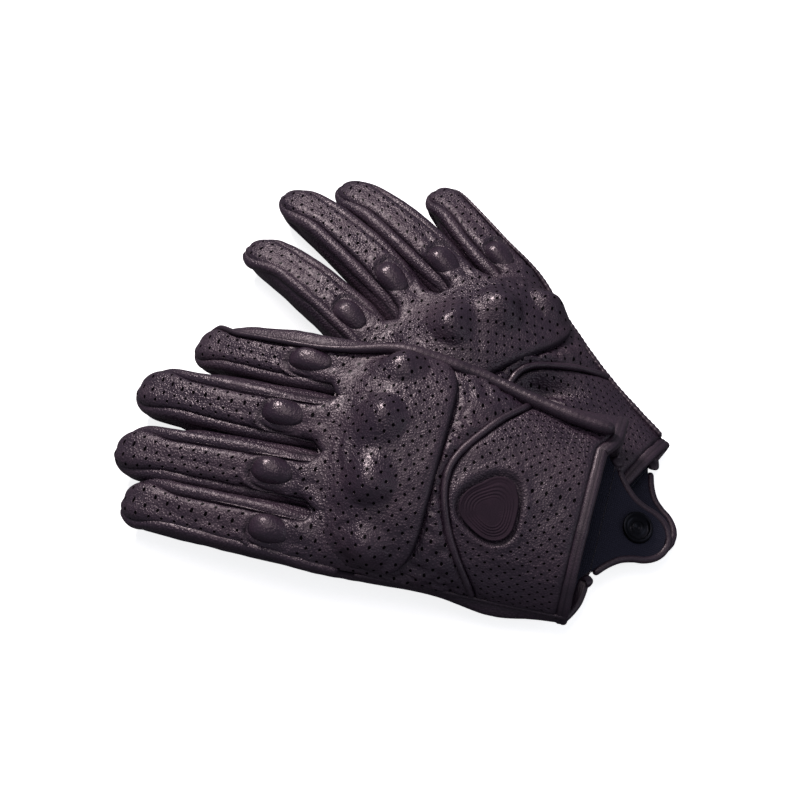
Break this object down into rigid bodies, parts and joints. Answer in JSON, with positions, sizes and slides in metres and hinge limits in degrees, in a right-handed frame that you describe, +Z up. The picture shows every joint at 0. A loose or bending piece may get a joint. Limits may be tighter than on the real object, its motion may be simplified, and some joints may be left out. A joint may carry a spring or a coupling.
{
  "type": "riding gloves",
  "caption": "Short-cuff leather riding gloves with a moulded knuckle guard, finger domes and a snap tongue at the wrist, one lying across the other.",
  "frame": {"origin": "middle of the pair's footprint, on the surface that the gloves lie on", "axes": "+Z up; +X towards the right of the view in the picture, the side where the cuffs are; +Y away from the viewer, towards the fingertips of the glove that lies underneath"},
  "size_m": [0.246, 0.2314, 0.0607],
  "materials": {
    "perforated_leather": "fine grained, semi-gloss, with rows of small punched holes",
    "plain_leather": "fine grained, semi-gloss",
    "hard_shell": "matt moulded",
    "badge_rubber": "satin, with fine concentric ridges",
    "lining_cloth": "knitted, matt, dark navy",
    "trim_leather": "smooth rolled edge",
    "snap_metal": "black lacquer"
  },
  "bodies": {
    "rear_glove": {"rear_back_panel": "perforated_leather", "rear_palm_panel": "plain_leather", "rear_fourchette_1": "plain_leather", "rear_fourchette_2": "plain_leather", "rear_fourchette_3": "plain_leather", "rear_finger_dome_1": "plain_leather", "rear_finger_dome_2": "plain_leather", "rear_finger_dome_3": "plain_leather", "rear_finger_dome_4": "plain_leather", "rear_knuckle_shell": "hard_shell", "rear_knuckle_cover": "perforated_leather", "rear_cuff_panel": "perforated_leather", "rear_cuff_piping": "trim_leather", "rear_badge": "badge_rubber", "rear_cuff_binding": "trim_leather", "rear_lining": "lining_cloth", "rear_outseam_welt": "trim_leather", "rear_thumb_back": "plain_leather", "rear_thumb_front": "plain_leather"},
    "rear_tongue": {"rear_tongue_leather": "plain_leather", "rear_tongue_lining": "lining_cloth", "rear_tongue_binding": "trim_leather", "rear_snap_socket": "snap_metal", "rear_snap_cap": "snap_metal"},
    "front_glove": {"front_back_panel": "perforated_leather", "front_palm_panel": "plain_leather", "front_fourchette_1": "plain_leather", "front_fourchette_2": "plain_leather", "front_fourchette_3": "plain_leather", "front_finger_dome_1": "plain_leather", "front_finger_dome_2": "plain_leather", "front_finger_dome_3": "plain_leather", "front_finger_dome_4": "plain_leather", "front_knuckle_shell": "hard_shell", "front_knuckle_cover": "perforated_leather", "front_cuff_panel": "perforated_leather", "front_cuff_piping": "trim_leather", "front_badge": "badge_rubber", "front_cuff_binding": "trim_leather", "front_lining": "lining_cloth", "front_outseam_welt": "trim_leather", "front_thumb_back": "plain_leather", "front_thumb_front": "plain_leather"},
    "front_tongue": {"front_tongue_leather": "plain_leather", "front_tongue_lining": "lining_cloth", "front_tongue_binding": "trim_leather", "front_snap_socket": "snap_metal", "front_snap_cap": "snap_metal"}
  },
  "joints": [
    {"name": "rear_tongue_hinge", "type": "hinge", "parent": "rear_glove", "child": "rear_tongue", "pos_m": [0.09662, -0.05565, 0.00411], "axis": [0.6558, 0.7545, 0.0253], "range_deg": [-8, 0]},
    {"name": "front_glove_lift", "type": "slide", "parent": "rear_glove", "child": "front_glove", "axis": [0, 0, 1], "range_m": [0, 0.08]},
    {"name": "front_tongue_hinge", "type": "hinge", "parent": "front_glove", "child": "front_tongue", "pos_m": [0.08904, -0.06949, 0.01825], "axis": [0.2617, 0.9435, 0.2033], "range_deg": [-80, 0]}
  ]
}
